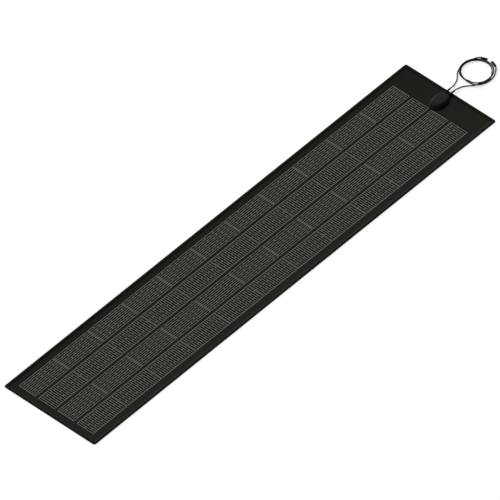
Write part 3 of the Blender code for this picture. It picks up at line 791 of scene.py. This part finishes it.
def cross_grid():
    """Bars of a grid whose lines run across the cell, with links laid like bricks."""
    bars = []
    pitch = GRID_LENGTH / (CROSS_LINES - 1)
    for x in (0, GRID_WIDTH):
        bars.append((x - LINE / 2, x + LINE / 2, -LINE / 2, GRID_LENGTH + LINE / 2))
    for k in range(CROSS_LINES):
        y = k * pitch
        bars.append((0, GRID_WIDTH, y - LINE / 2, y + LINE / 2))
    for k in range(CROSS_LINES - 1):
        for x in CROSS_LINKS[k % 2]:
            bars.append((x - LINE / 2, x + LINE / 2, k * pitch, (k + 1) * pitch))
    return bars


def bars_solid(bars, extra_rows):
    """One closed solid of overlapping rectangular bars, standing on the cell."""
    digits, least = 7, 0.002 * MM
    columns = sorted({round(x, digits) for bar in bars for x in bar[:2]})
    rows = {round(y, digits) for bar in bars for y in bar[2:]}
    rows = sorted(rows | {round(y, digits) for y in extra_rows if min(rows) < y < max(rows)})
    rows = [y for i, y in enumerate(rows) if i == 0 or y - rows[i - 1] > least]
    filled = set()
    for i in range(len(columns) - 1):
        for j in range(len(rows) - 1):
            x = (columns[i] + columns[i + 1]) / 2
            y = (rows[j] + rows[j + 1]) / 2
            if any(bar[0] < x < bar[1] and bar[2] < y < bar[3] for bar in bars):
                filled.add((i, j))
    mesh = bmesh.new()
    points = {}

    def point(i, j, top):
        key = (i, j, top)
        if key not in points:
            points[key] = mesh.verts.new((columns[i], rows[j], GRID_Z[top]))
        return points[key]

    for i, j in sorted(filled):
        square = [(i, j), (i + 1, j), (i + 1, j + 1), (i, j + 1)]
        mesh.faces.new([point(*corner, 1) for corner in square])
        mesh.faces.new([point(*corner, 0) for corner in reversed(square)])
        for (a, b), side in zip(zip(square, square[1:] + square[:1]),
                                ((i, j - 1), (i + 1, j), (i, j + 1), (i - 1, j))):
            if side not in filled:
                mesh.faces.new((point(*a, 0), point(*b, 0), point(*b, 1), point(*a, 1)))
    return mesh


def cell_motion(piece, row):
    """Lets a piece over one row of cells move with its section; a piece beside a bend only has its
    transform baked.
    """
    # The bend that each of these rows lies beside, and the section that the others lie within
    bends = {9: 0, 8: 0, 6: 1, 5: 1, 3: 2, 2: 2}
    sections = {10: "junction_section", 7: "upper_section", 4: "lower_section"}
    if row in bends:
        across_bend(piece, bends[row])
    else:
        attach(piece, sections.get(row, "end_section"))


def make_row(row):
    """One row of four cells, and the contact grids on them."""
    centre = cell_centre(row)
    low = centre - GRID_LENGTH / 2
    meshes = []
    half_x = (GRID_WIDTH + LINE) / 2 + CELL_MARGIN
    half_y = (GRID_LENGTH + LINE) / 2 + CELL_MARGIN
    rows = stations(centre - half_y, centre + half_y)
    for i, x in enumerate(STRING_X):
        bars = long_grid() if i % 2 == 0 else cross_grid()
        mesh = bars_solid(bars, [y - low for y in rows])
        bmesh.ops.translate(mesh, verts=mesh.verts, vec=(x - GRID_WIDTH / 2, low, 0))
        meshes.append(mesh)
        plate = sheet_solid([x - half_x, x, x + half_x], rows,
                            lambda x, y: CELL_Z[1], lambda x, y: CELL_Z[0])
        cell = add(f"cell_{i + 1}_{row + 1}", plate, FINISHES["cell"])
        cell_motion(cell, row)
        # The first row of each section stands for its CAD cell strings
        for name, first in (("junction", 9), ("upper", 6), ("lower", 3), ("end", 0)):
            if row == first:
                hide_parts(f"cell_string_{i + 1}_{name}")
    grids = add(f"contact_grids_{row + 1}", joined(meshes), FINISHES["grid"])
    cell_motion(grids, row)


# ---- the junction box

BOX_Y = 1165 * MM
BOX_HALF_WIDTH, BOX_NEAR, BOX_FAR = 31.5 * MM, 60.5 * MM, 39.5 * MM
NEAR_POWER, FAR_POWER = 2.3, 3.0  # how square each end of the outline is, where 2 is an ellipse
LID_BOTTOM, BOX_TOP, LID_WALL, LID_INSET = 6.0 * MM, 20.0 * MM, 2 * MM, 0.6 * MM
# The lid's dome stands on a low brim, inside the box's outline
BRIM_TOP, BRIM_ROUND = 7.6 * MM, 0.5 * MM
DOME_HALF_WIDTH, DOME_NEAR, DOME_FAR = 28.6 * MM, 54.5 * MM, 38.4 * MM
# How far the dome's top falls towards its near end and its sides, and how tight its edges are
NEAR_FALL, CROWN, SIDE_POWER, NEAR_END_POWER = 0.15, 0.03, 8, 3.5
NOTCH_RADIUS, BOOT_Z = 5.3 * MM, 11 * MM


def outline(half_width, near, far):
    """A shape like the box's seen from above: a long round near end and a short square far end."""
    count = 144
    points = []
    for k in range(count):
        turn = 2 * math.pi * k / count
        across, along = math.cos(turn), math.sin(turn)
        power = 2 / (FAR_POWER if along > 0 else NEAR_POWER)
        x = half_width * math.copysign(abs(across) ** power, across)
        y = (far if along > 0 else near) * math.copysign(abs(along) ** power, along)
        points.append((x, BOX_Y + y))
    return points


def box_loop(inset, z):
    """A level loop at a distance in from the box's outline, at the height z."""
    shape = outline(BOX_HALF_WIDTH - inset, BOX_NEAR - inset, BOX_FAR - inset)
    return [(x, y, z) for x, y in shape]


def dome_loop(shrink, inset, height):
    """One loop of the dome, which rounds off more and falls away towards its near end.

    shrink: its size as a share of the dome's foot. inset: how far it lies inside the dome's skin.
    """
    loop = []
    for x, y in outline((DOME_HALF_WIDTH - inset) * shrink, (DOME_NEAR - inset) * shrink,
                        (DOME_FAR - inset) * shrink):
        nearness = max((BOX_Y - y) / DOME_NEAR, 0)
        power = SIDE_POWER + (NEAR_END_POWER - SIDE_POWER) * nearness**2
        edge = (1 - shrink**power) ** (1 / power)
        fall = (1 - NEAR_FALL * nearness**2) * (1 - CROWN * shrink**2)
        loop.append((x, y, BRIM_TOP + height * edge * fall))
    return loop


def notch_tool(name):
    """The U-shaped way through the lid's far wall that a boot passes, open below."""
    start, tip = BOOT_ENDS[name]
    wall_share = 0.2  # of the boot's length, where it passes the lid's wall
    low, y_low, y_high = 4 * MM, 1196 * MM, 1210 * MM
    middle = start.lerp(tip, wall_share).x
    profile = [(middle - NOTCH_RADIUS, low)]
    for k in range(25):
        turn = math.pi * (1 - k / 24)
        profile.append((middle + NOTCH_RADIUS * math.cos(turn),
                        BOOT_Z + NOTCH_RADIUS * math.sin(turn)))
    profile.append((middle + NOTCH_RADIUS, low))
    loops = [[(x, y, z) for x, z in profile] for y in (y_low, y_high)]
    return add("notch_tool", loft(loops), FINISHES["lid"])


def make_lid():
    """The domed lid on its brim, a moulded shell that is open below."""
    # The sizes of the dome's loops from its foot to its top, close together at its steep edge
    shrinks = [1.0, 0.9998, 0.999, 0.996, 0.991, 0.984, 0.975, 0.963, 0.947, 0.925, 0.895, 0.85,
               0.79, 0.71, 0.61, 0.5, 0.38, 0.25, 0.1]
    height = BOX_TOP - BRIM_TOP
    outside = [dome_loop(s, 0, height) for s in reversed(shrinks)]
    brim = [box_loop(LID_INSET + BRIM_ROUND, BRIM_TOP - 0.1 * MM),
            box_loop(LID_INSET, BRIM_TOP - BRIM_ROUND), box_loop(LID_INSET, LID_BOTTOM)]
    foot = [(x, y, LID_BOTTOM) for x, y, _ in dome_loop(1.0, LID_WALL, 0)]
    inside = [dome_loop(s, LID_WALL, height - LID_WALL) for s in shrinks]
    lid = add("lid", loft(outside + brim + [foot] + inside), FINISHES["lid"], sharp=50)
    for name in BOOT_ENDS:
        cut(lid, notch_tool(name))
    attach(lid, "junction_box_lid")
    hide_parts("junction_box_lid")


def make_gasket():
    """The soft ring between the base and the lid."""
    low, high = 4.9 * MM, 5.9 * MM
    outer_inset, inner_inset = 0.9 * MM, 3.0 * MM
    ring = loft([box_loop(outer_inset, low), box_loop(outer_inset, high),
                 box_loop(inner_inset, high), box_loop(inner_inset, low)], close=True)
    gasket = add("lid_gasket", ring, FINISHES["gasket"])
    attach(gasket, "junction_section")
    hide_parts("junction_box_gasket")


def paint_cad():
    """Finishes for the CAD pieces whose shapes stay."""
    for name, paint in (
        ("adhesive_pad", "pad"), ("junction_box_base", "lid"),
        ("terminal_positive", "brass"), ("terminal_negative", "brass"), ("bypass_diode", "epoxy"),
        ("string_link_near_left", "tin"), ("string_link_near_right", "tin"),
        ("string_link_far", "tin"), ("output_ribbon_positive", "tin"),
        ("output_ribbon_negative", "tin"),
    ):
        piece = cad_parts[name]
        piece.data.materials.clear()
        piece.data.materials.append(FINISHES[paint])


# ---- the whole

FINISHES = make_finishes()
make_camera()
make_floor()
make_light()
make_lead("positive", "plug")
make_lead("negative", "socket")
for boot_name in BOOT_ENDS:
    make_boot(boot_name)
make_laminate()
for row_index in range(ROW_COUNT):
    make_row(row_index)
make_lid()
make_gasket()
paint_cad()
